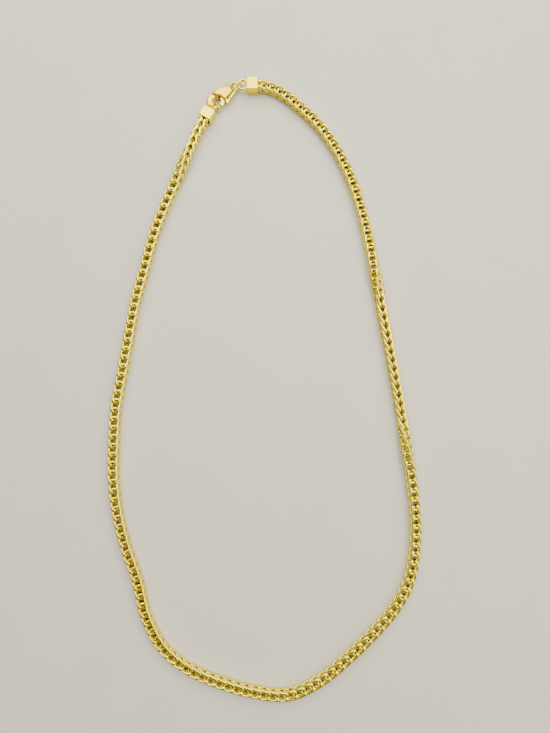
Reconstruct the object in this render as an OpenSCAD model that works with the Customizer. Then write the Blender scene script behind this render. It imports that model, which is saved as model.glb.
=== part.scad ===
// Franco chain necklace lying in a loop, closed by a lobster clasp between two box end caps.
// Millimetres, +Z up. The loop lies on z = 0, seen in the photograph's turn, with its middle at the origin.

/* [Loop] */
// Length of the loop from its round bottom to the clasp, along the chain's middle line
loop_long = 206; // [176:1:236]
// Greatest width of the loop, between the chain's middle lines
loop_wide = 101; // [86:1:116]

/* [Chain] */
// Width of the chain across its open faces and across its closed faces
chain_w = 3.5; // [3:0.1:4]

/* [End caps] */
// Length of a cap's box along the chain
cap_len = 3.8; // [3.4:0.1:6]
// Wall of a cap's box
cap_wall = 0.23; // [0.2:0.01:0.4]
// Room between the chain and the inside of a cap
cap_clear = 0.12; // [0.1:0.01:0.3]
// Hole of the round eye on a cap
eye_hole_d = 2.4; // [2.3:0.1:3]
// Wire of the round eye on a cap
eye_wire_d = 0.9; // [0.7:0.05:1]
// How far the right cap's eye sits above the cap's middle
eye_rise = 0.7; // [0:0.1:0.8]

/* [Jump ring] */
// Wire of the ring between the clasp's tail and the right cap's eye
ring_wire_d = 0.65; // [0.5:0.05:0.7]
// Room between the ring and each eye that it holds
ring_clear = 0.16; // [0.1:0.01:0.3]

/* [Clasp] */
// Thickness of the clasp's body at its pin
clasp_t = 3.2; // [2.6:0.1:3.4]
// Round hollow inside the hook
hook_hole_d = 2.8; // [2.6:0.1:3.4]
// Width of the hook's band, seen from above
hook_band_w = 1.9; // [1.5:0.05:2]
// Thickness of the hook's band
hook_bar_d = 1.4; // [1:0.05:1.4]
// How much wider the band is inwards at the hook's back, behind what it holds
heel_w = 0.4; // [0.2:0.05:0.5]
// Hole of the eye at the clasp's tail
tail_hole_d = 1.2; // [1.15:0.05:1.4]
// Wire of the eye at the clasp's tail
tail_wire_d = 0.7; // [0.5:0.05:0.8]

/* [Lever] */
// Thickness of the lever
lever_t = 1; // [0.8:0.05:1.2]
// Width of the gate, the lever's arm that closes the hook
gate_w = 1.2; // [0.8:0.05:1.4]
// Room above and below the lever in its slot
lever_clear = 0.1; // [0.08:0.01:0.2]
// Rivet that the lever turns on
pin_d = 0.7; // [0.5:0.05:0.9]
// Room round the rivet in the lever's bore
bore_clear = 0.05; // [0.04:0.01:0.1]

/* [Hidden] */
$fn = 64;
gold = "#f1d67a";
pale_gold = "#f6e298";

// Way of the chain's middle line from the right cap's eye, down the right side, round the bottom
// and up the left side to the left cap's eye, as measured before it was moved to the origin.
WAY = [
    [-7.5, 102.5], [-4.5, 102.5], [-1.5, 102.5], [4, 101], [10, 97], [18.5, 89], [25.5, 79], [30.5, 68],
    [34, 56.5], [36.5, 44.5], [40, 25], [44.5, 0], [48.5, -26], [50.5, -43], [50.5, -54.5], [48.5, -66],
    [43.5, -75.5], [36, -84], [27.5, -92], [18.5, -99], [8, -103.5], [-3.5, -102.5], [-14.5, -99.5],
    [-25, -95], [-33.5, -88], [-39, -78], [-42, -66.5], [-46, -55.5], [-49, -44], [-50.5, -32.5],
    [-50.5, -21], [-50, -9.5], [-48, 2.5], [-46, 14.5], [-44, 26], [-41, 38], [-38, 49.5], [-34, 60.5],
    [-29.5, 71], [-26.2, 79.2], [-22.5, 87.3], [-18, 95]
];
// Turn of the chain about its own line, by the share of its length from the right cap's eye. At 0 an
// open face is up.
ROLL = [[0.165, 0], [0.202, -90], [0.285, -90], [0.322, 0], [0.936, 0], [0.973, 90]];
// Middle of the box round that way, which is put at the origin
MIDDLE = [0.05, -0.4];
function spread(v) = max(v) - min(v);
way_wide = spread([for (p = WAY) p.x]);
way_long = spread([for (p = WAY) p.y]);
ROUTE = [
    for (p = WAY) [(p.x - MIDDLE.x) * loop_wide / way_wide, (p.y - MIDDLE.y) * loop_long / way_long]
];
// Middle of the eye at the clasp's tail: how far it stands beside the right cap's eye, and how far in
tail_gap = 3.8;
tail_drop = 0.4;
TAIL_AT = ROUTE[0] - [tail_gap, tail_drop];

// The chain's line, drawn through the route and measured along its length
steps = 12;
last = len(ROUTE) - 1;
function knot(i) =
    i < 0 ? 2 * ROUTE[0] - ROUTE[1] :
    i > last ? 2 * ROUTE[last] - ROUTE[last - 1] : ROUTE[i];
function curve(p, q, r, s, t) =
    q + (r - p) * t / 2 + (p - 2.5 * q + 2 * r - s / 2) * t * t + (s - p + 3 * (q - r)) * t * t * t / 2;
line = [
    for (i = [0 : last - 1]) for (j = [0 : steps - 1])
        curve(knot(i - 1), knot(i), knot(i + 1), knot(i + 2), j / steps),
    ROUTE[last]
];
along = [
    for (
        i = 0, s = 0;
        i < len(line);
        s = i + 1 < len(line) ? s + norm(line[i + 1] - line[i]) : s, i = i + 1
    ) s
];
line_len = along[len(along) - 1];
line_x = [for (i = [0 : len(line) - 1]) [along[i], line[i].x]];
line_y = [for (i = [0 : len(line) - 1]) [along[i], line[i].y]];
function unit(v) = v / norm(v);
function on_line(s) = [lookup(s, line_x), lookup(s, line_y)];
reach = 1.5;
function heading(s) =
    unit(on_line(min(s + reach, line_len)) - on_line(max(s - reach, 0)));

// The chain's weave. A link is one closed loop of wire, folded in two: its fold points forward and its
// two ends reach back round the fold of the link behind. Shares are of the chain's width.
pitch_share = 0.857;
wire_share = 0.165;
fold_tip_share = 0.054;
corner_share = 0.136;
shoulder_share = 0.36;
end_share = 1.039;
split_share = 0.006;
wire_d = chain_w * wire_share;
fold_tip = chain_w * fold_tip_share;
corner_back = chain_w * corner_share;
shoulder = chain_w * shoulder_share;
end_back = chain_w * end_share;
half_w = (chain_w - wire_d) / 2;
beside = wire_d / 2 + chain_w * split_share;

// Sizes that follow the ones above
cap_w = chain_w + 2 * (cap_clear + cap_wall);
lock_z = cap_w / 2;
eye_z = lock_z + eye_rise;
eye_r = (eye_hole_d + eye_wire_d) / 2;
eye_sunk = 0.65;
cap_face = eye_r + eye_wire_d / 2 - eye_sunk;
link_room = 0.12;
first_fold = cap_face + eye_sunk + link_room + end_back + wire_d / 2;
last_fold = line_len - cap_face - eye_sunk - link_room - fold_tip - wire_d / 2;
links = 1 + round((last_fold - first_fold) / (chain_w * pitch_share));
pitch = (last_fold - first_fold) / (links - 1);
first_pin = first_fold - pitch;
last_pin = last_fold + pitch - end_back;

// Height of the chain's line: it lies on the table however it is turned, and rises into the caps
lift_len = 12;
cap_end = cap_face + cap_len;
lift = [[cap_end, 1], [cap_end + lift_len, 0], [line_len - cap_end - lift_len, 0], [line_len - cap_end, 1]];
function roll(s) = lookup(s / line_len, ROLL);
function lying(s) = wire_d / 2 + half_w * (abs(cos(roll(s))) + abs(sin(roll(s))));
function height(s) = max(lying(s), lying(s) + (lock_z - chain_w / 2) * lookup(s, lift));

// A point of the chain: s along its line, a across the open faces, b out of them
function place(s, a, b) =
    let (
        t = heading(s),
        side = a * cos(roll(s)) - b * sin(roll(s)),
        up = a * sin(roll(s)) + b * cos(roll(s)),
        p = on_line(s)
    )
    [p.x + t.y * side, p.y - t.x * side, height(s) + up];

// One link: the corners of its wire as [a, b, distance ahead of its fold]
corners = [
    [0, beside, fold_tip], [half_w, shoulder, -corner_back], [beside, half_w, -end_back],
    [beside, -half_w, -end_back], [half_w, -shoulder, -corner_back], [0, -beside, fold_tip],
    [-half_w, -shoulder, -corner_back], [-beside, -half_w, -end_back],
    [-beside, half_w, -end_back], [-half_w, shoulder, -corner_back]
];
sides = 5;
turns = len(corners);
heart = [0, 0, -end_back / 2];
function corner(i) = corners[(i + turns) % turns];
function ahead(i) = unit(unit(corner(i + 1) - corner(i)) + unit(corner(i) - corner(i - 1)));
function outward(i) =
    let (t = ahead(i), v = corner(i) - heart)
    unit(v - (v * t) * t);
link_points = [
    for (i = [0 : turns - 1], k = [0 : sides - 1])
        corner(i) + wire_d / 2 * (
            cos(k * 360 / sides) * outward(i) + sin(k * 360 / sides) * cross(ahead(i), outward(i))
        )
];
function wire_point(n, i, k) = (n * turns + i % turns) * sides + k % sides;

// A run of links from one number to another, each a closed wire of its own
module chain_run(from, to) {
    polyhedron(
        points = [
            for (n = [from : to], p = link_points) place(first_fold + n * pitch + p.z, p.x, p.y)
        ],
        faces = [
            for (n = [0 : to - from], i = [0 : turns - 1], k = [0 : sides - 1], half = [0, 1])
                half == 0
                    ? [wire_point(n, i, k), wire_point(n, i + 1, k), wire_point(n, i + 1, k + 1)]
                    : [wire_point(n, i, k), wire_point(n, i + 1, k + 1), wire_point(n, i, k + 1)]
        ]
    );
}
middle_link = floor(links / 2);
module chain_right() { color(gold) chain_run(0, middle_link - 1); }
module chain_left() { color(gold) chain_run(middle_link, links - 1); }

full_turn = 360;
// Round bar bent to a ring or an arc, standing flat about the Z axis
module bent_bar(r, bar_d, turn = full_turn) {
    rotate_extrude(angle = turn) translate([r, 0]) circle(d = bar_d);
}

// A cap about its eye's middle, with the chain leaving along +X. The pin holds the chain's end link.
module end_cap(hold_at) {
    translate([cap_face, -cap_w / 2, -cap_w / 2]) difference() {
        cube([cap_len, cap_w, cap_w]);
        translate([eye_sunk, cap_wall, cap_wall]) cube([cap_len, cap_w - 2 * cap_wall, cap_w - 2 * cap_wall]);
    }
    translate([hold_at, 0, 0]) rotate([90, 0, 0]) cylinder(d = wire_d, h = cap_w - cap_wall, center = true);
}

function angle_of(v) = atan2(v.y, v.x);

module end_cap_right() {
    right_turn = angle_of(ROUTE[1] - ROUTE[0]);
    color(pale_gold) translate([ROUTE[0].x, ROUTE[0].y, lock_z]) rotate([0, 0, right_turn]) {
        end_cap(first_pin);
        translate([0, 0, eye_rise]) bent_bar(eye_r, eye_wire_d);
    }
}

left_way = unit(ROUTE[last] - ROUTE[last - 1]);
module end_cap_left() {
    color(pale_gold) translate([ROUTE[last].x, ROUTE[last].y, lock_z]) rotate([0, 0, angle_of(-left_way)]) {
        end_cap(line_len - last_pin);
        rotate([90, 0, 0]) bent_bar(eye_r, eye_wire_d);
    }
}

// The clasp lies flat, with its hook through the left cap's eye
clasp_lift = 0.25;
clasp_z = clasp_t / 2 + clasp_lift;
hook_r = (hook_hole_d + hook_band_w) / 2;
band_half = (hook_band_w - hook_bar_d) / 2;
hook_at = ROUTE[last] + hook_r * left_way;
clasp_angle = angle_of(hook_at - TAIL_AT);
tail_back = norm(hook_at - TAIL_AT);
tail_r = (tail_hole_d + tail_wire_d) / 2;

module in_clasp() {
    translate([hook_at.x, hook_at.y, clasp_z]) rotate([0, 0, clasp_angle]) children();
}

// The ring stands between the two eyes, just large enough to hold a rim of each
ring_way = unit(ROUTE[0] - TAIL_AT);
tail_rim = TAIL_AT + tail_r * ring_way;
eye_rim = ROUTE[0] - eye_r * ring_way;
rims_apart = norm([norm(eye_rim - tail_rim), eye_z - clasp_z]);
ring_r = rims_apart / 2 + ring_clear + (ring_wire_d + max(eye_wire_d, tail_wire_d)) / 2;
module jump_ring() {
    middle = (eye_rim + tail_rim) / 2;
    color(gold) translate([middle.x, middle.y, (eye_z + clasp_z) / 2])
        rotate([0, 0, angle_of(ring_way)]) rotate([90, 0, 0]) bent_bar(ring_r, ring_wire_d);
}

// Places in the clasp: the hollow's middle is the origin, the tail is towards -X, the lever is on +Y
hook_start = 200;
nose_at = 68;
nose_d = hook_band_w;
heel_r = hook_r - band_half - heel_w;
heel_end = 315;
gate_gap = 0.4;
pin_back = 0.95;
pin_side = 0.9;
pin_at = [-hook_r - pin_back, pin_side];
boss_wall = 0.55;
boss_d = pin_d + 2 * boss_wall;
gate_end = nose_at + (nose_d / 2 + gate_gap) / hook_r * 180 / PI;
gate_root = 170;
thumb_w = 0.6;
tab_out = 1.9;
tab_ahead = 0.45;
tab_at = pin_at + [tab_ahead, tab_out];
strip_long = 4.6;
strip_out = 0.76;
strip_end = pin_at + [-strip_long, strip_out];
strip_w = 0.45;

// Plan of the body's plate, from the tail to the hook. It is widest at the hip and narrows at the waist.
hip_back = 1.2;
hip_share = 0.7;
waist_back = 3;
waist_half = 1.7;
lip = 0.6;
merge = 0.15;
module plate_plan() {
    difference() {
        polygon([
            [tail_r - tail_back, -tail_r], [-hook_r - waist_back, -waist_half],
            [-hook_r - hip_back, merge - hook_r], [-hook_r * hip_share, -hook_r - band_half],
            [-lip, -hook_r - 2 * band_half], [-lip, 2 * band_half - hook_r], [merge - hook_r, 0],
            [merge - hook_r, pin_at.y + pin_d / 2], [pin_at.x + lip, pin_at.y + boss_d / 2 + merge],
            [pin_at.x - lip, pin_at.y + boss_d / 2], [-hook_r - waist_back, waist_half],
            [tail_r - tail_back, tail_r]
        ]);
        circle(r = hook_hole_d / 2 + merge);
    }
}

// Side view of the plate: thick at the pin, thin at the tail and at the hook
module plate_side() {
    tail_half = tail_wire_d / 2 + merge;
    hook_half = hook_bar_d / 2 + merge;
    thick_from = -hook_r - 2 * pin_back;
    polygon([
        [-tail_back, -tail_half], [thick_from, -clasp_t / 2], [-hook_r, -clasp_t / 2], [0, -hook_half],
        [0, hook_half], [-hook_r, clasp_t / 2], [thick_from, clasp_t / 2], [-tail_back, tail_half]
    ]);
}

// Round bar along the rivet's line
module on_pin(bar_d, long) {
    translate([pin_at.x, pin_at.y, 0]) cylinder(d = bar_d, h = long, center = true);
}

module clasp_body() {
    slot_h = lever_t + 2 * lever_clear;
    slot_x = pin_at.x - boss_d / 2 - 2 * lever_clear;
    slot_y = pin_at.y - boss_d / 2 - gate_w / 2 - 2 * lever_clear;
    color(gold) in_clasp() {
        difference() {
            intersection() {
                linear_extrude(height = clasp_t, center = true) plate_plan();
                rotate([90, 0, 0]) linear_extrude(height = 4 * hook_r, center = true) plate_side();
            }
            translate([slot_x, slot_y, -slot_h / 2]) cube([tail_back, 4 * hook_r, slot_h]);
            on_pin(pin_d + bore_clear, 2 * clasp_t);
        }
        for (r = [hook_r - band_half, hook_r + band_half])
            rotate([0, 0, hook_start]) bent_bar(r, hook_bar_d, full_turn + nose_at - hook_start);
        rotate([0, 0, nose_at]) translate([hook_r, 0, 0]) sphere(d = nose_d);
        rotate([0, 0, hook_start]) bent_bar(heel_r, hook_bar_d, heel_end - hook_start);
        rotate([0, 0, heel_end]) translate([heel_r, 0, 0]) sphere(d = hook_bar_d + merge);
        translate([-tail_back, 0, 0]) bent_bar(tail_r, tail_wire_d);
    }
}

// Flat bar with round ends between two points of a plan
module bar_plan(p, q, w) {
    translate(p) circle(d = w);
    translate(q) circle(d = w);
    translate(p) rotate([0, 0, angle_of(q - p)]) translate([0, -w / 2]) square([norm(q - p), w]);
}

module clasp_lever() {
    color(pale_gold) in_clasp() difference() {
        union() {
            linear_extrude(height = lever_t, center = true) {
                translate(pin_at) circle(d = boss_d);
                bar_plan(pin_at, tab_at, thumb_w);
                bar_plan(tab_at, strip_end, strip_w);
            }
            rotate([0, 0, gate_end]) rotate_extrude(angle = gate_root - gate_end)
                translate([hook_r, 0]) square([gate_w, lever_t], center = true);
            translate([tab_at.x, tab_at.y, 0]) cylinder(d = lever_t, h = lever_t, center = true);
        }
        on_pin(pin_d + 2 * bore_clear, 2 * lever_t);
    }
}

module clasp_pin() {
    color(gold) in_clasp() on_pin(pin_d, clasp_t);
}

chain_right();
chain_left();
end_cap_right();
end_cap_left();
jump_ring();
clasp_body();
clasp_lever();
clasp_pin();
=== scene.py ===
"""A franco chain necklace in yellow gold, lying in a closed loop.

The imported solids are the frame, and each of them is dressed with a finer piece: links of round wire, end
caps with soft edges, a jump ring, and a lobster clasp with its lever and rivet. Pieces are modelled in
millimetres about their own middle, then brought to metres and put in the frame.
"""

from __future__ import annotations

import logging
import math
from dataclasses import dataclass, field
from enum import Enum
from typing import Sequence

import bpy
import numpy as np
from bpy.types import Material, Node, NodeSocket, NodeTree, Object
from mathutils import Matrix, Vector


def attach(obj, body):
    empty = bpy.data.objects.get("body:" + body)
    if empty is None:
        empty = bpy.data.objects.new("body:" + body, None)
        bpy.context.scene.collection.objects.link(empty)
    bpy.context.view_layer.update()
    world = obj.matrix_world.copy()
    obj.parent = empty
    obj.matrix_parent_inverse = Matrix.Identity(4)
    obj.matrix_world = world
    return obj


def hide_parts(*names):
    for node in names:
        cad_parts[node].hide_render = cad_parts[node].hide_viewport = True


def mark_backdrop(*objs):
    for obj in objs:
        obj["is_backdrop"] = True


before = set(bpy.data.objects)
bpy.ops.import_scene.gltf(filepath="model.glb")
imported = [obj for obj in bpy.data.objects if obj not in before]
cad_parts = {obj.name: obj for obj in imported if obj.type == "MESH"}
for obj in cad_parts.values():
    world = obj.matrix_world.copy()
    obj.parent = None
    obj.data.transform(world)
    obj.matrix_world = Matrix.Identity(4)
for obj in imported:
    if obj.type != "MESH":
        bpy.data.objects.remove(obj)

LOG = logging.getLogger("necklace")
MM = 0.001
PHOTO_HIGH = 733

# Steps round a ring, round its wire or up a ball, and round a rod, a ball, a soft bar and a bar's end
RING_STEPS = 72
WIRE_SIDES = 20
ROD_SIDES = 48
BALL_SIDES = 32
BAR_SIDES = 24
END_STEPS = 8

# Degrees of one step along a bent bar
BEND_STEP = 4

# How far a cutter goes past what it cuts, and the least distance to divide by, in millimetres
CUT_PAST = 1.0
TINY = 0.001

Flat = tuple[float, float]
Point = tuple[float, float, float]


# Modelling helpers


def deselect() -> None:
    bpy.ops.object.select_all(action="DESELECT")


def only(obj: Object) -> None:
    """Selects one object alone and makes it active.

    Args:
        obj: The object to work on.
    """
    deselect()
    obj.select_set(True)
    bpy.context.view_layer.objects.active = obj


def added(name: str) -> Object:
    """Names the primitive that was just added, and applies its place, turn and scale to its mesh.

    Args:
        name: The name to give it.

    Returns:
        The primitive.
    """
    obj = bpy.context.view_layer.objects.active
    obj.name = name
    bpy.ops.object.transform_apply(location=True, rotation=True, scale=True)
    return obj


def finish_with(obj: Object, kind: str, **settings: object) -> None:
    """Adds one modifier and applies it.

    Args:
        obj: The object to change.
        kind: The modifier's type.
        **settings: The modifier's own settings.
    """
    modifier = obj.modifiers.new(kind.title(), kind)
    for key, value in settings.items():
        setattr(modifier, key, value)
    only(obj)
    bpy.ops.object.modifier_apply(modifier=modifier.name)


def bevel(obj: Object, width: float, segments: int, over: float) -> None:
    """Rounds the edges of a piece that turn more than an angle in degrees."""
    limit = math.radians(over)
    finish_with(obj, "BEVEL", width=width, segments=segments, limit_method="ANGLE", angle_limit=limit)


def wear(obj: Object, skin: float, rounds: int) -> None:
    """Closes a piece under one skin of some fineness, and smooths it as tumbling wears it."""
    finish_with(obj, "REMESH", mode="VOXEL", voxel_size=skin, adaptivity=0.0)
    finish_with(obj, "SMOOTH", factor=0.5, iterations=rounds)


class Join(Enum):
    """How one closed piece is put together with another."""

    ADD = "UNION"
    CUT = "DIFFERENCE"
    CROSS = "INTERSECT"


def combine(obj: Object, other: Object, join: Join) -> None:
    """Puts one closed piece together with another, which is used up."""
    finish_with(obj, "BOOLEAN", object=other, operation=join.value, solver="EXACT")
    bpy.data.objects.remove(other)


def edit_all(obj: Object) -> None:
    """Opens a piece in edit mode with all of it selected.

    Args:
        obj: The piece.
    """
    only(obj)
    bpy.ops.object.mode_set(mode="EDIT")
    bpy.ops.mesh.select_all(action="SELECT")


def leave_edit() -> None:
    """Goes back to object mode."""
    bpy.ops.object.mode_set(mode="OBJECT")


def faces_out(obj: Object) -> Object:
    """Turns the faces of a closed piece outwards.

    Args:
        obj: The piece.

    Returns:
        The same piece.
    """
    edit_all(obj)
    bpy.ops.mesh.normals_make_consistent(inside=False)
    leave_edit()
    return obj


def ring_bar(name: str, radius: float, wire: float, upright: bool = False) -> Object:
    """Round wire closed to a ring about the origin.

    Args:
        name: Its name.
        radius: Radius of the wire's middle line, in millimetres.
        wire: Diameter of the wire.
        upright: Whether the ring stands in the XZ plane and doesn't lie flat.

    Returns:
        The ring.
    """
    deselect()
    lean = math.pi / 2 if upright else 0
    bpy.ops.mesh.primitive_torus_add(
        major_radius=radius, minor_radius=wire / 2, major_segments=RING_STEPS, minor_segments=WIRE_SIDES,
        rotation=(lean, 0, 0),
    )
    return added(name)


def slab(name: str, outline: Sequence[Flat], height: float) -> Object:
    """A flat plate of an outline, half of its height on each side of z = 0.

    Args:
        name: Its name.
        outline: The corners, anticlockwise.
        height: Its thickness.

    Returns:
        The plate.
    """
    deselect()
    bpy.ops.mesh.primitive_circle_add(vertices=len(outline), radius=1, fill_type="NGON")
    plate = added(name)
    for vertex, corner in zip(plate.data.vertices, outline):
        vertex.co = (*corner, -height / 2)
    edit_all(plate)
    bpy.ops.mesh.extrude_region_move(TRANSFORM_OT_translate={"value": (0, 0, height)})
    leave_edit()
    return faces_out(plate)


def rod(name: str, diameter: float, length: float, at: Point = (0, 0, 0), turn: Point = (0, 0, 0)) -> Object:
    """A straight round rod along its own Z.

    Args:
        name: Its name.
        diameter: Its diameter.
        length: Its length.
        at: Its middle.
        turn: Its rotation in radians.

    Returns:
        The rod.
    """
    deselect()
    bpy.ops.mesh.primitive_cylinder_add(
        vertices=ROD_SIDES, radius=diameter / 2, depth=length, location=at, rotation=turn
    )
    return added(name)


def ball(name: str, diameter: float, at: Point) -> Object:
    """A round ball.

    Args:
        name: Its name.
        diameter: Its diameter.
        at: Its middle.

    Returns:
        The ball.
    """
    deselect()
    bpy.ops.mesh.primitive_uv_sphere_add(
        segments=BALL_SIDES, ring_count=WIRE_SIDES, radius=diameter / 2, location=at
    )
    return added(name)


def block(name: str, low: Point, high: Point) -> Object:
    """A plain box between two corners.

    Args:
        name: Its name.
        low: Its lowest corner.
        high: Its highest corner.

    Returns:
        The box.
    """
    deselect()
    middle = [(a + b) / 2 for a, b in zip(low, high)]
    bpy.ops.mesh.primitive_cube_add(size=1, location=middle, scale=[b - a for a, b in zip(low, high)])
    return added(name)


def arc_bar(
    name: str, radius: float, wide: float, tall: float, start: float, end: float, soft: bool
) -> Object:
    """A bar bent along an arc about the origin: its section spun about Z.

    Args:
        name: Its name.
        radius: Radius of its middle line.
        wide: Its width, across the arc.
        tall: Its height along Z.
        start: Angle where it starts, in degrees.
        end: Angle where it ends.
        soft: Whether its edges are fully round and not square.

    Returns:
        The closed bar.
    """
    half = math.pi / 2
    corners, reach = (BAR_SIDES, tall / 2) if soft else (4, tall * math.sqrt(0.5))
    deselect()
    bpy.ops.mesh.primitive_circle_add(
        vertices=corners, radius=reach, fill_type="NGON", location=(radius, 0, 0), rotation=(half, 0, 0)
    )
    bar = added(name)
    if not soft:
        middle = Matrix.Translation((radius, 0, 0))
        bar.data.transform(middle @ Matrix.Rotation(half / 2, 4, "Y") @ middle.inverted())
    for vertex in bar.data.vertices:
        vertex.co.x += math.copysign((wide - tall) / 2, vertex.co.x - radius)
    bar.data.transform(Matrix.Rotation(math.radians(start), 4, "Z"))
    edit_all(bar)
    steps = int(abs(end - start) / BEND_STEP)
    bpy.ops.mesh.spin(steps=steps, angle=math.radians(start - end), center=(0, 0, 0), axis=(0, 0, 1))
    leave_edit()
    return faces_out(bar)


# Finishes


def linear(hex_colour: str) -> tuple[float, float, float, float]:
    """Turns an sRGB hex colour into linear light.

    Args:
        hex_colour: Such as "#e8c66a".

    Returns:
        Red, green, blue and a full alpha.
    """
    parts = [int(hex_colour[i : i + 2], 16) / 255 for i in (1, 3, 5)]
    light = [v / 12.92 if v <= 0.04045 else ((v + 0.055) / 1.055) ** 2.4 for v in parts]
    return (light[0], light[1], light[2], 1.0)


def add_node(
    tree: NodeTree, kind: str, at: Flat, inputs: dict[str | int, object] | None = None, **settings: object
) -> Node:
    """Adds one shader node with its settings, values and links.

    Args:
        tree: The node tree.
        kind: The node's type, without its first words.
        at: Its place in the editor.
        inputs: For each socket by name or number, its value or the output that is linked to it.
        **settings: The node's own settings.

    Returns:
        The node.
    """
    node = tree.nodes.new(f"ShaderNode{kind}")
    node.location = at
    for key, value in settings.items():
        setattr(node, key, value)
    for key, value in (inputs or {}).items():
        if isinstance(value, NodeSocket):
            tree.links.new(value, node.inputs[key])
        else:
            node.inputs[key].default_value = value
    return node


class Work(Enum):
    """How a gold surface was made, with how much its fine relief is squeezed along X, Y and Z."""

    DRAWN_WIRE = (1.0, 1.0, 3.0)
    ROLLED_SHEET = (1.0, 6.0, 1.0)
    CASTING = (1.0, 1.0, 1.0)


@dataclass(frozen=True)
class GoldFinish:
    """Polished yellow gold.

    Attributes:
        name: The material's name.
        work: How the surface was made.
        face: Colour of the open faces, away from the recesses.
        recess_shade_and_haze: Painted shade: a darker colour that stands in for the shade in the recesses;
            the haze patches also take a little of it.
        roughness: Roughness of the polished face.
        haze_mm: Size of the patches of handling haze.
        relief_mm: Height of the fine relief.
        haze_span: The noise where the haze is least and where it is most.
        haze_rough: Roughness there, as shares of the face's.
        shade_break: How much the haze adds to the painted shade, so that its edge is broken.
        shade_short: How much is then taken off it, so that the open faces stay free of painted shade but for
            faint haze patches.
        grain_mm: Size of the fine relief's grain, as coarse as shows from the photograph's distance.
        grain_strength: How strongly the relief shows.
    """

    name: str
    work: Work
    face: str
    recess_shade_and_haze: str
    roughness: float
    haze_mm: float
    relief_mm: float
    haze_span: Flat = (0.3, 0.7)
    haze_rough: Flat = (0.7, 1.5)
    shade_break: float = 0.35
    shade_short: float = 0.17
    grain_mm: float = 0.12
    grain_strength: float = 0.35

    def material(self) -> Material:
        """Builds the node material.

        Returns:
            The material, on Object coordinates and the piece's own recess attribute.
        """
        made = bpy.data.materials.new(self.name)
        made.use_nodes = True
        tree = made.node_tree
        tree.nodes.clear()
        place = add_node(tree, "TexCoord", (-900, 0)).outputs["Object"]
        # Handling haze: soft patches where fingers dull the polish.
        patches = {"Vector": place, "Scale": 1 / (self.haze_mm * MM), "Detail": 3.0}
        haze = add_node(tree, "TexNoise", (-600, 150), patches).outputs["Fac"]
        dulling = {
            "Value": haze,
            "From Min": self.haze_span[0],
            "From Max": self.haze_span[1],
            "To Min": self.roughness * self.haze_rough[0],
            "To Max": self.roughness * self.haze_rough[1],
        }
        dull = add_node(tree, "MapRange", (-300, 150), dulling)
        # Painted shade in the recesses: a darker colour by the recess attribute, with its edge broken up by
        # the haze, which also dims the open faces faintly in patches.
        recess = add_node(tree, "Attribute", (-600, 450), attribute_name="recess")
        edge = {0: haze, 1: self.shade_break, 2: -self.shade_short}
        shade_edge = add_node(tree, "Math", (-300, 450), edge, operation="MULTIPLY_ADD")
        both = {0: shade_edge.outputs[0], 1: recess.outputs["Fac"]}
        depth = add_node(tree, "Math", (-100, 450), both, operation="ADD", use_clamp=True)
        colours = {"Factor": depth.outputs[0], "A": linear(self.face), "B": linear(self.recess_shade_and_haze)}
        tint = add_node(tree, "Mix", (300, 300), colours, data_type="RGBA")
        # Fine relief: flat-lying lines on wire, lines one way on sheet, an even skin on a casting.
        drawn_out = add_node(tree, "Mapping", (-600, -200), {"Vector": place, "Scale": self.work.value})
        fine = {"Vector": drawn_out.outputs["Vector"], "Scale": 1 / (self.grain_mm * MM), "Detail": 2.0}
        grain = add_node(tree, "TexNoise", (-300, -200), fine).outputs["Fac"]
        height = {"Height": grain, "Strength": self.grain_strength, "Distance": self.relief_mm * MM}
        relief = add_node(tree, "Bump", (300, -200), height)
        surface = {
            "Metallic": 1.0,
            "Base Color": tint.outputs["Result"],
            "Roughness": dull.outputs["Result"],
            "Normal": relief.outputs["Normal"],
        }
        shader = add_node(tree, "BsdfPrincipled", (600, 0), surface)
        add_node(tree, "OutputMaterial", (900, 0), {"Surface": shader.outputs["BSDF"]})
        return made


@dataclass(frozen=True)
class TableFinish:
    """The sprayed lacquer of the studio's table, which takes soft shadows and mirrors nothing.

    Attributes:
        name: The material's name.
        face: Its colour.
        roughness: Its roughness.
        mottle_mm: Size of its faint patches, three of them to 50 mm.
        mottle_dark: Colour of the darker patches, as a share of the face's.
    """

    name: str = "pale matt lacquer"
    face: str = "#d9d7d2"
    roughness: float = 0.6
    mottle_mm: float = 50 / 3
    mottle_dark: float = 0.95

    def material(self) -> Material:
        """Builds the node material.

        Returns:
            The material, with a faint mottle.
        """
        made = bpy.data.materials.new(self.name)
        made.use_nodes = True
        tree = made.node_tree
        shader = tree.nodes["Principled BSDF"]
        shader.inputs["Roughness"].default_value = self.roughness
        place = add_node(tree, "TexCoord", (-900, 0)).outputs["Object"]
        patches = {"Vector": place, "Scale": 1 / (self.mottle_mm * MM), "Detail": 4.0}
        mottle = add_node(tree, "TexNoise", (-600, 0), patches)
        dark = [*(v * self.mottle_dark for v in linear(self.face)[:3]), 1.0]
        colours = {"Factor": mottle.outputs["Fac"], "A": linear(self.face), "B": dark}
        tint = add_node(tree, "Mix", (-300, 0), colours, data_type="RGBA")
        tree.links.new(tint.outputs["Result"], shader.inputs["Base Color"])
        return made


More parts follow.
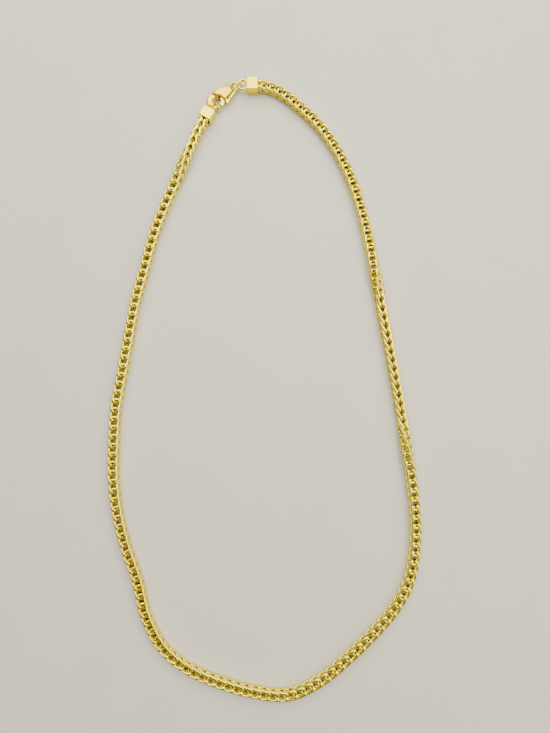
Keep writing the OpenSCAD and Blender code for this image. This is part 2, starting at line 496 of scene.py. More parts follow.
def into_frame(
    obj: Object, name: str, node: str, material: Material, turn: float = 0.0, at: Point = (0, 0, 0),
    sharp: float = 35.0, body: str = "necklace",
) -> Object:
    """Dresses a piece, turns it about Z, moves it, brings it to metres and puts it in the frame.

    Args:
        obj: The piece in millimetres about its own middle.
        name: The piece's name.
        node: The CAD node that it stands for.
        material: Its finish.
        turn: Its turn in radians.
        at: Where its middle goes, in millimetres.
        sharp: Edges that turn more than this, in degrees, stay crisp.
        body: The body that it rides on.

    Returns:
        The piece.
    """
    obj.data.materials.clear()
    obj.data.materials.append(material)
    only(obj)
    bpy.ops.object.shade_smooth_by_angle(angle=math.radians(sharp))
    obj.data.transform(Matrix.Scale(MM, 4) @ Matrix.Translation(at) @ Matrix.Rotation(turn, 4, "Z"))
    obj.data.update()
    obj.name = name
    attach(obj, body)
    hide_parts(node)
    return obj


# The chain


class Side(Enum):
    """The two sides of the loop, as the photograph shows it."""

    RIGHT = "right"
    LEFT = "left"


def soft_limit(far: np.ndarray, limit: float, give: float = 0.3) -> np.ndarray:
    """Bends distances over smoothly from a little short of a limit, so that none passes it."""
    over = np.maximum(far - (limit - give), 0)
    return np.where(over > 0, limit - give * np.exp(-over / give), far)


@dataclass
class ChainLine:
    """The line that the chain lies along, in millimetres, as the solids follow it.

    Attributes:
        way: Points of its middle line from the right cap's eye to the left cap's.
        roll: Turn of the chain about its line in degrees, by share of its length.
        middle: Middle of the box round the way, which goes to the origin.
        chain_w: Width of the chain.
        lock_z: Height of the caps' middle.
        cap_end: Distance from an eye's middle to its cap's open end.
        lift_len: Length over which the chain comes down from a cap to the table.
        corner_sink: How much lower its rounded corner sits than a square one, when turned.
        reach: Distance each way over which the line's direction is taken.
        span_steps: Steps of the curve between two points.
        knots: The way about the origin.
        line: The curve through the knots.
        along: Distance of each of its points from its start.
    """

    way: tuple[Flat, ...] = (
        (-7.5, 102.5), (-4.5, 102.5), (-1.5, 102.5), (4, 101), (10, 97), (18.5, 89), (25.5, 79), (30.5, 68),
        (34, 56.5), (36.5, 44.5), (40, 25), (44.5, 0), (48.5, -26), (50.5, -43), (50.5, -54.5), (48.5, -66),
        (43.5, -75.5), (36, -84), (27.5, -92), (18.5, -99), (8, -103.5), (-3.5, -102.5), (-14.5, -99.5),
        (-25, -95), (-33.5, -88), (-39, -78), (-42, -66.5), (-46, -55.5), (-49, -44), (-50.5, -32.5),
        (-50.5, -21), (-50, -9.5), (-48, 2.5), (-46, 14.5), (-44, 26), (-41, 38), (-38, 49.5), (-34, 60.5),
        (-29.5, 71), (-26.2, 79.2), (-22.5, 87.3), (-18, 95),
    )
    roll: tuple[Flat, ...] = (
        (0.165, 0), (0.202, -90), (0.285, -90), (0.322, 0), (0.936, 0), (0.973, 90),
    )
    middle: Flat = (0.05, -0.4)
    chain_w: float = 3.5
    lock_z: float = 2.1
    cap_end: float = 5.25
    lift_len: float = 12.0
    corner_sink: float = 0.289
    reach: float = 1.5
    span_steps: int = 12
    knots: np.ndarray = field(init=False)
    line: np.ndarray = field(init=False)
    along: np.ndarray = field(init=False)

    def __post_init__(self) -> None:
        """Draws the line through its points and measures it."""
        self.knots = np.array(self.way, float) - np.array(self.middle)
        ends = np.vstack([2 * self.knots[0] - self.knots[1], self.knots, 2 * self.knots[-1] - self.knots[-2]])
        # A smooth curve through the points, each stretch of it shaped by the four round it.
        t = np.arange(self.span_steps)[:, None] / self.span_steps
        spans = []
        for p, q, r, s in zip(ends, ends[1:], ends[2:], ends[3:]):
            spans.append(
                q + (r - p) * t / 2 + (p - 2.5 * q + 2 * r - s / 2) * t**2 + (s - p + 3 * (q - r)) * t**3 / 2
            )
        self.line = np.vstack([*spans, self.knots[-1:]])
        steps = np.linalg.norm(np.diff(self.line, axis=0), axis=1)
        self.along = np.concatenate([[0.0], np.cumsum(steps)])

    @property
    def length(self) -> float:
        """Length of the line from eye to eye."""
        return float(self.along[-1])

    def on_line(self, s: np.ndarray) -> np.ndarray:
        """Points of the line at distances along it."""
        return np.stack([np.interp(s, self.along, self.line[:, i]) for i in (0, 1)], axis=-1)

    def place(self, s: np.ndarray, a: np.ndarray, b: np.ndarray) -> np.ndarray:
        """Places points of the chain in space.

        Args:
            s: Distances along the line.
            a: Distances across the open faces.
            b: Distances out of the open faces.

        Returns:
            The points, one row each.
        """
        ahead = self.on_line(np.minimum(s + self.reach, self.length))
        way = ahead - self.on_line(np.maximum(s - self.reach, 0))
        way /= np.linalg.norm(way, axis=1)[:, None]
        shares, turns = zip(*self.roll)
        roll = np.radians(np.interp(s / self.length, shares, turns))
        half = self.chain_w / 2
        lying = half + (half - self.corner_sink) * (np.abs(np.cos(roll)) + np.abs(np.sin(roll)) - 1)
        stops = (self.cap_end, self.cap_end + self.lift_len)
        ends = (*stops, self.length - stops[1], self.length - stops[0])
        lift = np.interp(s, ends, (1, 0, 0, 1)) * (self.lock_z - half)
        side = a * np.cos(roll) - b * np.sin(roll)
        up = a * np.sin(roll) + b * np.cos(roll)
        at = self.on_line(s)
        return np.stack([at[:, 0] + way[:, 1] * side, at[:, 1] - way[:, 0] * side, lying + lift + up], axis=1)


@dataclass
class FrancoChain:
    """The chain's two runs of folded wire links.

    Attributes:
        line: The line that the chain lies along.
        links: Links of the whole chain.
        first_fold: Where the first link's fold is along the line.
        last_fold: Where the last link's fold is.
        wire_d: Diameter of the real wire.
        rings: Rings of wire round one link.
        sides: Sides of the wire.
        corner_reach: Greatest sum of the distances across and out, at the chain's corners.
        fold_out: How far out a link's wire runs at its fold and where its legs begin.
        tip_across: How far across its far bends begin.
        side_led: How far across its legs run, as shares of the room. What passes 1 is pressed flat.
        face_led: How far out their far ends run, likewise.
        ahead: How far ahead of the fold each point of a quarter lies.
        corner_cut: Share of each stretch that a round of cutting takes off its ends.
        corner_rounds: Rounds of cutting.
        shade_core: Share of the chain's half width within which the painted shade in the recesses is full.
        shade_fade: Share over which that painted shade then fades out.
    """

    line: ChainLine
    links: int = 160
    first_fold: float = 6.145
    last_fold: float = 482.279
    wire_d: float = 1.08
    rings: int = 44
    sides: int = 10
    corner_reach: float = 3.05
    fold_out: Flat = (0.62, 0.66)
    tip_across: float = 0.5
    side_led: tuple[float, ...] = (1.12, 1.14, 1.16, 1.14)
    face_led: tuple[float, ...] = (1.14, 1.22, 1.28)
    ahead: tuple[float, ...] = (0.4, 0.35, -1.0, -2.0, -3.1, -3.8, -3.6)
    corner_cut: float = 0.25
    corner_rounds: int = 3
    shade_core: float = 0.3
    shade_fade: float = 0.3

    def centre_line(self) -> np.ndarray:
        """Middle line of one link's wire, folded in two, as [across, out, ahead of its fold].

        Returns:
            One row for each ring of the wire, evenly spaced and closed.
        """
        edge = self.line.chain_w / 2 - self.wire_d / 2
        across = (0.0, *(edge * share for share in self.side_led), self.tip_across, self.tip_across)
        out = (self.fold_out[0], *self.fold_out, *(edge * share for share in self.face_led), 0.0)
        quarter = list(zip(across, out, self.ahead))
        right = np.array(quarter + [(x, -y, z) for x, y, z in reversed(quarter[:-1])])
        left = (right * (-1, 1, 1))[::-1][1:-1]
        path = np.vstack([right, left])
        cut, keep = self.corner_cut, 1 - self.corner_cut
        for _ in range(self.corner_rounds):
            ahead = np.roll(path, -1, 0)
            path = np.stack([keep * path + cut * ahead, cut * path + keep * ahead], 1).reshape(-1, 3)
        closed = np.vstack([path, path[:1]])
        far = np.concatenate([[0.0], np.cumsum(np.linalg.norm(np.diff(closed, axis=0), axis=1))])
        even = np.linspace(0, far[-1], self.rings, endpoint=False)
        return np.stack([np.interp(even, far, closed[:, i]) for i in range(3)], axis=1)

    def master_link(self) -> Object:
        """Models one link: a ring of wire bent to the fold.

        Returns:
            The link, with its wire's rings on the folded line.
        """
        deselect()
        bpy.ops.mesh.primitive_torus_add(major_segments=self.rings, minor_segments=self.sides)
        link = added("link")
        path = self.centre_line()
        ahead = np.roll(path, -1, 0) - np.roll(path, 1, 0)
        ahead /= np.linalg.norm(ahead, axis=1)[:, None]
        out = path - path.mean(axis=0)
        out -= (out * ahead).sum(axis=1)[:, None] * ahead
        out /= np.linalg.norm(out, axis=1)[:, None]
        up = np.cross(ahead, out)
        turn = 2 * np.pi * np.arange(self.sides) / self.sides
        points = path[:, None] + self.wire_d / 2 * (
            np.cos(turn)[:, None] * out[:, None] + np.sin(turn)[:, None] * up[:, None]
        )
        points = points.reshape(-1, 3)
        points[:, :2] = self.pressed(points[:, :2])
        link.data.vertices.foreach_set("co", points.astype(np.float32).ravel())
        link.data.update()
        return link

    def pressed(self, across: np.ndarray) -> np.ndarray:
        """Flattens what stands out of the chain's faces and corners, as its rolling does.

        Args:
            across: Distances from the chain's middle line.

        Returns:
            The distances, none past half of the chain's width, with the corners rounded off.
        """
        flat = soft_limit(np.abs(across), self.line.chain_w / 2)
        far = flat.sum(axis=1)
        rounded = soft_limit(far, self.corner_reach) / np.maximum(far, TINY)
        return np.sign(across) * flat * rounded[:, None]

    def run(self, side: Side, numbers: range, material: Material) -> Object:
        """Lays a run of links along the line, each a copy of the master link.

        Args:
            side: The side of the loop.
            numbers: The links' numbers, counted from the right cap.
            material: The wire's finish.

        Returns:
            The run, placed in the frame.
        """
        link = self.master_link()
        points = np.array([vertex.co for vertex in link.data.vertices])
        faces = np.array([list(p.vertices) for p in link.data.polygons])
        bpy.data.objects.remove(link)
        pitch = (self.last_fold - self.first_fold) / (self.links - 1)
        folds = self.first_fold + np.array(numbers)[:, None] * pitch
        s = (folds + points[None, :, 2]).ravel()
        a = np.tile(points[:, 0], len(numbers))
        b = np.tile(points[:, 1], len(numbers))
        placed = self.line.place(s, a, b)
        all_faces = (faces[None] + (np.arange(len(numbers)) * len(points))[:, None, None]).reshape(-1, 4)
        name = f"links_{side.value}"
        mesh = bpy.data.meshes.new(name)
        mesh.from_pydata(placed.tolist(), [], all_faces.tolist())
        run = bpy.data.objects.new(name, mesh)
        bpy.context.scene.collection.objects.link(run)
        # Painted shade: points deep inside the chain take the darker recess colour, fading out towards its
        # outer faces.
        deepest = np.maximum(np.abs(a), np.abs(b))
        half = self.line.chain_w / 2
        recess = np.clip(1 - (deepest - self.shade_core * half) / (self.shade_fade * half), 0, 1)
        mesh.attributes.new("recess", "FLOAT", "POINT").data.foreach_set("value", recess.astype(np.float32))
        faces_out(run)
        return into_frame(run, name, f"chain_{side.value}", material, sharp=80)

    def build(self, material: Material) -> list[Object]:
        """Builds both runs.

        Args:
            material: The wire's finish.

        Returns:
            The right run and the left run.
        """
        half = self.links // 2
        return [
            self.run(Side.RIGHT, range(half), material),
            self.run(Side.LEFT, range(half, self.links), material),
        ]


# Caps and ring


@dataclass
class EndCap:
    """A square box cap with a round eye soldered to its closed end.

    Attributes:
        side: The side of the loop that it ends.
        at: Middle of the eye, in millimetres.
        turn: Direction from the eye into the chain, in radians.
        eye_upright: Whether the eye stands and doesn't lie flat.
        hold_at: Distance of the pin that holds the chain's end link.
        eye_rise: How far the eye is above the cap's middle.
        long: Length of the box along the chain.
        wide: Width and height of the box.
        wall: Wall of the box.
        eye_hole: Hole of the eye.
        eye_wire: Wire of the eye.
        eye_sunk: How far the eye is let into the closed end.
        solder: Depth of solder in the closed end.
        hold_d: Diameter of the pin.
        edge_round: Rounding of the box's outer edges.
        well_round: Rounding of its hollow's edges.
        joint_round: Rounding of the corners that soldering leaves.
    """

    side: Side
    at: Point
    turn: float
    eye_upright: bool
    hold_at: float
    eye_rise: float = 0.0
    long: float = 3.8
    wide: float = 4.2
    wall: float = 0.23
    eye_hole: float = 2.4
    eye_wire: float = 0.9
    eye_sunk: float = 0.65
    solder: float = 1.5
    hold_d: float = 0.58
    edge_round: float = 0.16
    well_round: float = 0.25
    joint_round: float = 0.04

    @property
    def eye_r(self) -> float:
        """Radius of the eye wire's middle line."""
        return (self.eye_hole + self.eye_wire) / 2

    def build(self, material: Material) -> Object:
        """Builds the cap.

        Args:
            material: Its finish.

        Returns:
            The cap, placed in the frame.
        """
        name = f"cap_{self.side.value}"
        face = self.eye_r + self.eye_wire / 2 - self.eye_sunk
        mouth = face + self.long
        half = self.wide / 2
        cap = block(name, (face, -half, -half), (mouth, half, half))
        bevel(cap, self.edge_round, segments=4, over=40)
        inside = half - self.wall
        well = block("well", (face + self.solder, -inside, -inside), (mouth + CUT_PAST, inside, inside))
        bevel(well, self.well_round, segments=4, over=40)
        combine(cap, well, Join.CUT)
        eye = ring_bar("eye", self.eye_r, self.eye_wire, self.eye_upright)
        eye.data.transform(Matrix.Translation((0, 0, self.eye_rise)))
        combine(cap, eye, Join.ADD)
        hold = rod("hold", self.hold_d, self.wide - self.wall, (self.hold_at, 0, 0), (math.pi / 2, 0, 0))
        combine(cap, hold, Join.ADD)
        bevel(cap, self.joint_round, segments=2, over=50)
        return into_frame(cap, name, f"end_{name}", material, self.turn, self.at)


@dataclass
class JumpRing:
    """The small ring between the clasp's tail and the right cap's eye.

    Attributes:
        at: Its middle, in millimetres.
        turn: Direction of its plane, in radians.
        radius: Radius of the wire's middle line.
        wire: Diameter of the wire.
        seam: Width of the line where its ends meet.
        seam_past: Diameter of the seam's cutter, as a share of the wire's.
        core: Diameter of what the seam leaves whole, likewise.
    """

    at: Point
    turn: float
    radius: float
    wire: float = 0.65
    seam: float = 0.03
    seam_past: float = 1.3
    core: float = 0.86

    def build(self, material: Material) -> Object:
        """Builds the ring, with the fine line where its ends meet.

        Args:
            material: Its finish.

        Returns:
            The ring, placed in the frame.
        """
        ring = ring_bar("ring", self.radius, self.wire, upright=True)
        top, along = (0, 0, self.radius), (0, math.pi / 2, 0)
        seam = rod("seam", self.wire * self.seam_past, self.seam, top, along)
        combine(seam, rod("core", self.wire * self.core, 2 * self.seam, top, along), Join.CUT)
        combine(ring, seam, Join.CUT)
        return into_frame(ring, "ring", "jump_ring", material, self.turn, self.at)


# The clasp


@dataclass
class LobsterClasp:
    """The clasp about the middle of its hook, with its tail towards -X and its lever on +Y.

    Attributes:
        at: Middle of the hook's hollow, in millimetres.
        turn: Its turn in radians.
        tail_back: From the hook's middle to the tail eye's.
        thick: Thickness of the body at the rivet.
        hook_hole: Round hollow inside the hook.
        hook_wide: Width of the hook's band, seen from above.
        hook_bar: Thickness of the hook's band.
        hook_start: Angle where the band leaves the body, in degrees.
        nose_at: Angle of the hook's round nose.
        heel_w: How much wider the band is inwards at its back.
        heel_end: Angle where that ends.
        tail_hole: Hole of the eye at the tail.
        tail_wire: Width of the metal round it.
        pin_d: Diameter of the rivet.
        bore_more: How much wider the body's bore is. The lever's is wider by twice as much.
        pin_back: How far behind the hook's bar the rivet stands.
        pin_side: How far to the lever's side it stands.
        boss_d: Diameter of the lever round the rivet.
        lever_t: Thickness of the lever.
        lever_clear: Room above and below it.
        gate_w: Width of the lever's arm that closes the hook.
        gate_gap: Room between the gate and the nose.
        gate_root: Angle where the gate leaves the lever's boss.
        tab_from: From the rivet to the thumb tab.
        tab_w: Width of the bar between them.
        strip_from: From the rivet to the thumb strip's far end.
        strip_w: Width of the strip.
        waist_back: How far behind the hook's bar the plate is widest.
        waist_half: Half of its width there.
        root_back: How far behind the bar its lower edge turns to the hook.
        root_share: How far back the next corner is, as a share of the bar's radius.
        root_end: How far before the hook's middle it ends.
        boss_flat: Half of the flat beside the boss.
        blend: How far the plate runs into the bar, and past it on each side.
        tail_plump: How far it stands past the tail's wire on each side.
        swell: How sharp the swell at the rivet is.
        swell_steps: Points along the swell.
        plate_round: Rounding of the plate's edges.
        plate_worn: Fineness of the plate's skin, and how often it is smoothed.
        hollow_more: How much wider the plate's hollow is than the hook's.
        rim_more: How much taller the tail's rim is than it is wide.
        rim_round: Rounding of that rim.
        whole_worn: The same for the whole body.
        lever_round: Rounding of the lever's edges.
        dome_round: Rounding of the rivet's two heads.
    """

    at: Point
    turn: float
    tail_back: float
    thick: float = 3.2
    hook_hole: float = 2.8
    hook_wide: float = 1.9
    hook_bar: float = 1.4
    hook_start: float = 200.0
    nose_at: float = 68.0
    heel_w: float = 0.4
    heel_end: float = 315.0
    tail_hole: float = 1.2
    tail_wire: float = 0.7
    pin_d: float = 0.7
    bore_more: float = 0.05
    pin_back: float = 0.95
    pin_side: float = 0.9
    boss_d: float = 1.8
    lever_t: float = 1.0
    lever_clear: float = 0.1
    gate_w: float = 1.2
    gate_gap: float = 0.4
    gate_root: float = 170.0
    tab_from: Flat = (0.45, 1.9)
    tab_w: float = 0.6
    strip_from: Flat = (-4.6, 0.76)
    strip_w: float = 0.45
    waist_back: float = 3.0
    waist_half: float = 1.75
    root_back: float = 1.2
    root_share: float = 0.7
    root_end: float = 0.6
    boss_flat: float = 0.6
    blend: float = 0.15
    tail_plump: float = 0.3
    swell: float = 1.2
    swell_steps: int = 25
    plate_round: float = 0.45
    plate_worn: tuple[float, int] = (0.12, 40)
    hollow_more: float = 0.3
    rim_more: float = 0.4
    rim_round: float = 0.25
    whole_worn: tuple[float, int] = (0.1, 8)
    lever_round: float = 0.1
    dome_round: float = 0.12

    @classmethod
    def hook_r(cls) -> float:
        """Radius of the hook bar's middle line, which is known before a clasp is placed."""
        return (cls.hook_hole + cls.hook_wide) / 2

    @property
    def band_half(self) -> float:
        """Half of how much wider the hook's band is than thick."""
        return (self.hook_wide - self.hook_bar) / 2

    @property
    def tail_r(self) -> float:
        """Radius of the tail eye's middle line."""
        return (self.tail_hole + self.tail_wire) / 2

    @property
    def pin_at(self) -> Flat:
        """Middle of the rivet."""
        return (-self.hook_r() - self.pin_back, self.pin_side)

    def outline(self) -> list[Flat]:
        """Outline of the body's plate, anticlockwise.

        Returns:
            The corners.
        """
        r, (px, py) = self.hook_r(), self.pin_at
        tail, rim = -self.tail_back, self.tail_r + self.tail_wire / 2
        waist, half = -r - self.waist_back, self.waist_half
        boss, band, into = self.boss_d / 2, self.band_half, self.blend - r
        return [
            (tail, -rim), (waist, -half), (-r - self.root_back, into), (-r * self.root_share, -r - band),
            (-self.root_end, -r - 2 * band), (-self.root_end, 2 * band - r), (into, 0.0),
            (into, py + self.pin_d / 2), (px + self.boss_flat, py + boss + self.blend),
            (px - self.boss_flat, py + boss), (waist, half), (tail, rim),
        ]

    def body(self, material: Material) -> Object:
        """Builds the cast body with its hook, nose and tail eye.

        Args:
            material: Its finish.

        Returns:
            The body, placed in the frame.
        """
        r = self.hook_r()
        plate = slab("clasp_body", self.outline(), self.thick)
        side = slab("side", self.side_outline(), 4 * r)
        side.data.transform(Matrix.Rotation(math.pi / 2, 4, "X"))
        combine(plate, side, Join.CROSS)
        bevel(plate, self.plate_round, segments=3, over=35)
        # The plate alone is worn rounder than the hook, as a casting is after tumbling.
        wear(plate, *self.plate_worn)
        combine(plate, rod("hollow", self.hook_hole + self.hollow_more, 2 * self.thick), Join.CUT)
        tail_at = (-self.tail_back, 0, 0)
        combine(plate, rod("eye", self.tail_hole, self.thick, tail_at), Join.CUT)
        hook = arc_bar("hook", r, self.hook_wide, self.hook_bar, self.hook_start, 360 + self.nose_at, True)
        combine(plate, hook, Join.ADD)
        combine(plate, ball("nose", self.hook_wide, (*self.on_arc(r, self.nose_at), 0)), Join.ADD)
        heel_r = r - self.band_half - self.heel_w
        heel = arc_bar("heel", heel_r, self.hook_bar, self.hook_bar, self.hook_start, self.heel_end, True)
        combine(plate, heel, Join.ADD)
        combine(plate, ball("heel_end", self.hook_bar, (*self.on_arc(heel_r, self.heel_end), 0)), Join.ADD)
        rim_d = self.tail_hole + 2 * self.tail_wire
        tail = rod("tail", rim_d, self.tail_wire + self.rim_more, tail_at)
        combine(tail, rod("tail_hole", self.tail_hole, self.thick, tail_at), Join.CUT)
        bevel(tail, self.rim_round, segments=3, over=50)
        combine(plate, tail, Join.ADD)
        wear(plate, *self.whole_worn)
        px, py = self.pin_at
        slot_h = self.lever_t + 2 * self.lever_clear
        left = px - self.boss_d / 2 - 2 * self.lever_clear
        low = py - self.boss_d / 2 - self.gate_w / 2 - 2 * self.lever_clear
        # The slot is through the plate alone: it ends short of the nose, and the hook stays whole.
        right = self.on_arc(r, self.nose_at)[0] - self.hook_wide / 2 - 2 * self.lever_clear
        slot = block("slot", (left, low, -slot_h / 2), (right, low + 4 * r, slot_h / 2))
        combine(plate, slot, Join.CUT)
        combine(plate, rod("bore", self.pin_d + self.bore_more, 2 * self.thick, (px, py, 0)), Join.CUT)
        return into_frame(plate, "clasp_shell", "clasp_body", material, self.turn, self.at, sharp=50)

    def side_outline(self) -> list[Flat]:
        """Side view of the plate: a soft swell at the rivet, thin at the tail and at the hook.

        Returns:
            The corners, anticlockwise.
        """
        tail = self.tail_wire / 2 + self.tail_plump
        hook = self.hook_bar / 2 + self.blend
        most = self.thick / 2
        swell_at = -self.hook_r() - self.pin_back
        lower = []
        for x in np.linspace(-self.tail_back, 0.0, self.swell_steps):
            end, share = (tail, (x + self.tail_back) / (swell_at + self.tail_back))
            if x > swell_at:
                end, share = (hook, x / swell_at)
            lower.append((float(x), -(end + (most - end) * math.sin(share * math.pi / 2) ** self.swell)))
        return lower + [(x, -z) for x, z in reversed(lower)]

    def on_arc(self, radius: float, degrees: float) -> Flat:
        """A point of an arc about the hook's middle."""
        angle = math.radians(degrees)
        return radius * math.cos(angle), radius * math.sin(angle)

    def lever(self, material: Material) -> Object:
        """Builds the lever: its boss on the rivet, the gate, and the thumb strip.

        Args:
            material: Its finish.

        Returns:
            The lever, placed in the frame.
        """
        px, py = self.pin_at
        gate_end = self.nose_at + math.degrees((self.hook_wide / 2 + self.gate_gap) / self.hook_r())
        tab = (px + self.tab_from[0], py + self.tab_from[1])
        strip = (px + self.strip_from[0], py + self.strip_from[1])
        lever = rod("lever", self.boss_d, self.lever_t, (px, py, 0))
        gate = arc_bar("gate", self.hook_r(), self.gate_w, self.lever_t, gate_end, self.gate_root, False)
        combine(lever, gate, Join.ADD)
        for start, end, wide in (((px, py), tab, self.tab_w), (tab, strip, self.strip_w)):
            combine(lever, self.bar(start, end, wide), Join.ADD)
        combine(lever, rod("tab", self.lever_t, self.lever_t, (*tab, 0)), Join.ADD)
        bore_d = self.pin_d + 2 * self.bore_more
        combine(lever, rod("bore", bore_d, 2 * self.lever_t, (px, py, 0)), Join.CUT)
        bevel(lever, self.lever_round, segments=3, over=50)
        return into_frame(lever, "lever_arm", "clasp_lever", material, self.turn, self.at, body="lever")

    def bar(self, start: Flat, end: Flat, wide: float) -> Object:
        """A flat bar with round ends, as thick as the lever.

        Args:
            start: Middle of its first end.
            end: Middle of its other end.
            wide: Its width.

        Returns:
            The bar.
        """
        way = Vector(end) - Vector(start)
        angle = math.atan2(way.y, way.x)
        half = math.pi / 2
        corners = []
        for middle, first in ((end, angle - half), (start, angle + half)):
            for k in range(END_STEPS + 1):
                turn = first + math.pi * k / END_STEPS
                corners.append((middle[0] + wide / 2 * math.cos(turn), middle[1] + wide / 2 * math.sin(turn)))
        return slab("bar", corners, self.lever_t)

    def rivet(self, material: Material) -> Object:
        """Builds the rivet with its two domed ends.

        Args:
            material: Its finish.

        Returns:
            The rivet, placed in the frame.
        """
        px, py = self.pin_at
        rivet = rod("rivet", self.pin_d, self.thick, (px, py, 0))
        bevel(rivet, self.dome_round, segments=4, over=50)
        return into_frame(rivet, "rivet", "clasp_pin", material, self.turn, self.at)


# The closure


def direction(way: Sequence[float]) -> float:
    """Angle of a way in the plan, in radians."""
    return math.atan2(way[1], way[0])


@dataclass
class Closure:
    """The caps, the ring and the clasp, placed from the two ends of the chain's line.

    Attributes:
        line: The line that the chain lies along.
        clasp_z: Height of the clasp's middle.
        eye_rise: How far the right cap's eye sits above the cap's middle.
        tail_off: From the clasp's tail eye to the right cap's eye in the plan.
        right_hold: From the right eye to the pin in its cap.
        left_hold: From the left eye to the pin in its cap.
        ring_clear: Room between the ring and each eye.
    """

    line: ChainLine
    clasp_z: float = 1.85
    eye_rise: float = 0.7
    tail_off: Flat = (3.8, 0.4)
    right_hold: float = 3.151
    left_hold: float = 3.34
    ring_clear: float = 0.16

    def build(self, sheet: Material, wire: Material, cast: Material) -> list[Object]:
        """Builds every piece of the closure.

        Args:
            sheet: Finish of the caps and the lever.
            wire: Finish of the ring and the rivet.
            cast: Finish of the clasp's body.

        Returns:
            The pieces, placed in the frame.
        """
        first, second = self.line.knots[0], self.line.knots[1]
        last, before_last = self.line.knots[-1], self.line.knots[-2]
        lock_z = self.line.lock_z
        left_way = (last - before_last) / np.linalg.norm(last - before_last)
        right_turn, left_turn = direction(second - first), direction(-left_way)
        right_cap = EndCap(Side.RIGHT, (*first, lock_z), right_turn, False, self.right_hold, self.eye_rise)
        left_cap = EndCap(Side.LEFT, (*last, lock_z), left_turn, True, self.left_hold)
        tail_at = first - np.array(self.tail_off)
        hook_at = last + LobsterClasp.hook_r() * left_way
        away = hook_at - tail_at
        clasp = LobsterClasp((*hook_at, self.clasp_z), direction(away), float(np.linalg.norm(away)))

        ring_way = (first - tail_at) / np.linalg.norm(first - tail_at)
        tail_rim = tail_at + clasp.tail_r * ring_way
        eye_rim = first - right_cap.eye_r * ring_way
        eye_z = lock_z + self.eye_rise
        apart = math.hypot(float(np.linalg.norm(eye_rim - tail_rim)), eye_z - self.clasp_z)
        radius = apart / 2 + self.ring_clear + (JumpRing.wire + right_cap.eye_wire) / 2
        middle = (*((tail_rim + eye_rim) / 2), (eye_z + self.clasp_z) / 2)
        ring = JumpRing(middle, direction(ring_way), radius)
        return [
            right_cap.build(sheet), left_cap.build(sheet), ring.build(wire),
            clasp.body(cast), clasp.lever(sheet), clasp.rivet(wire),
        ]


# The studio


@dataclass(frozen=True)
class SoftBox:
    """A square soft light that faces the middle of the loop.

    Attributes:
        name: Its name.
        at: Its middle, in metres.
        side: Its side, in metres.
        watts: Its power.
    """

    name: str
    at: Point
    side: float
    watts: float


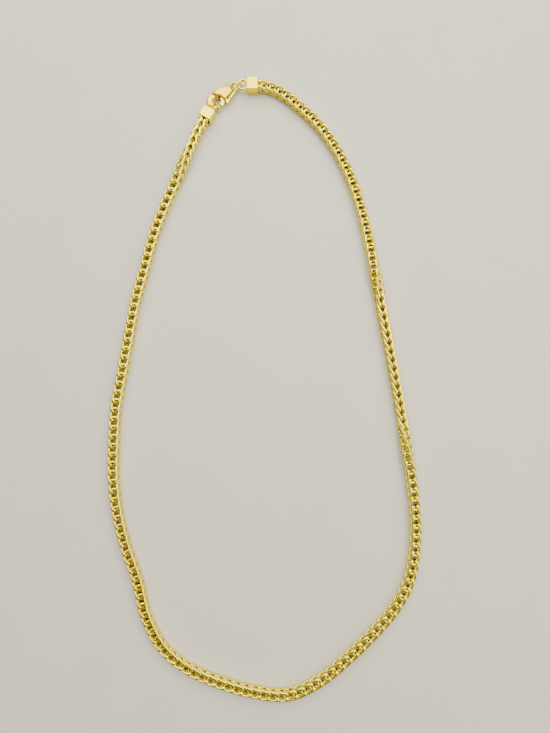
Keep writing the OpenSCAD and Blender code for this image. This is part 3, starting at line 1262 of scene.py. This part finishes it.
@dataclass
class Studio:
    """The table, the soft lights and the camera.

    Attributes:
        look_at: The point in the middle of the picture, in millimetres.
        away: Distance of the camera from it.
        elevation: Height of its line of sight, in degrees.
        focal_px: Focal length in the photograph's pixels.
        sensor: Width of the camera's sensor, in millimetres.
        near_m: Distance from which the camera sees, in metres.
        table_m: Side of the table, in metres.
        boxes: The soft boxes, one past the loop's top and one at its right.
        box_colour: Colour of their light.
        room_colour: Colour of the room's glow.
        room_glow: Its strength.
    """

    look_at: Point = (3.65, 4.96, 1.75)
    away: float = 181.0
    elevation: float = 87.0
    focal_px: float = 533.0
    sensor: float = 36.0
    near_m: float = 0.005
    table_m: float = 4.0
    boxes: tuple[SoftBox, ...] = (
        SoftBox("key", (0.0, 0.33, 0.5), 0.75, 8.4),
        SoftBox("fill", (0.45, -0.1, 0.5), 0.6, 3.4),
    )
    box_colour: str = "#fff8e2"
    room_colour: str = "#dcd8cc"
    room_glow: float = 0.3

    def table(self) -> Object:
        """Lays the pale table under the necklace.

        Returns:
            The table.
        """
        deselect()
        bpy.ops.mesh.primitive_plane_add(size=self.table_m)
        table = added("table")
        table.data.materials.append(TableFinish().material())
        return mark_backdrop(table) or table

    def camera(self) -> Object:
        """Sets the camera at the photograph's place and angle.

        Returns:
            The camera.
        """
        data = bpy.data.cameras.new("camera")
        data.sensor_fit = "AUTO"
        data.sensor_width = self.sensor
        data.lens = self.focal_px / PHOTO_HIGH * data.sensor_width
        data.clip_start = self.near_m
        camera = bpy.data.objects.new("camera", data)
        bpy.context.scene.collection.objects.link(camera)
        angle = math.radians(self.elevation)
        back = Vector((0, -math.cos(angle), math.sin(angle)))
        camera.location = (Vector(self.look_at) + back * self.away) * MM
        camera.rotation_euler = (math.pi / 2 - angle, 0, 0)
        bpy.context.scene.camera = camera
        return camera

    def lights(self) -> None:
        """Hangs two soft boxes and sets the room's glow."""
        for box in self.boxes:
            data = bpy.data.lights.new(box.name, "AREA")
            data.color = linear(self.box_colour)[:3]
            data.size = box.side
            data.energy = box.watts
            light = bpy.data.objects.new(box.name, data)
            light.location = box.at
            light.rotation_euler = (-Vector(box.at)).to_track_quat("-Z", "Y").to_euler()
            bpy.context.scene.collection.objects.link(light)
        world = bpy.data.worlds.new("room")
        world.use_nodes = True
        glow = world.node_tree.nodes["Background"]
        glow.inputs["Color"].default_value = linear(self.room_colour)
        glow.inputs["Strength"].default_value = self.room_glow
        bpy.context.scene.world = world


def main() -> None:
    logging.basicConfig(level=logging.INFO, format="%(name)s: %(message)s")
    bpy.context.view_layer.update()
    studio = Studio()
    studio.camera()
    studio.table()
    studio.lights()

    # Drawn and rolled flat at the faces: each link has one clear bright stripe, and its gaps stay dark,
    # partly in real shade and partly by the painted shade that its second colour gives the recesses.
    wire = GoldFinish("drawn 14 carat gold wire", Work.DRAWN_WIRE, "#fbe94a", "#5c5028", 0.22, 1.6, 0.001)
    # Rolled and buffed one way: broad even faces that gleam from edge to edge, paler than the wire.
    sheet = GoldFinish("polished gold sheet", Work.ROLLED_SHEET, "#feea30", "#7c6a34", 0.26, 2.2, 0.0005)
    # Cast and tumbled: soft edges and a faintly uneven skin, so its lights are wide and their ends blurred.
    cast = GoldFinish("tumbled cast gold", Work.CASTING, "#f0d236", "#6c5a2c", 0.24, 1.2, 0.0015)
    wire_material = wire.material()

    line = ChainLine()
    pieces = FrancoChain(line).build(wire_material)
    pieces += Closure(line).build(sheet.material(), wire_material, cast.material())
    for piece in pieces:
        LOG.info("%s: %d faces", piece.name, len(piece.data.polygons))


if __name__ == "__main__":
    main()
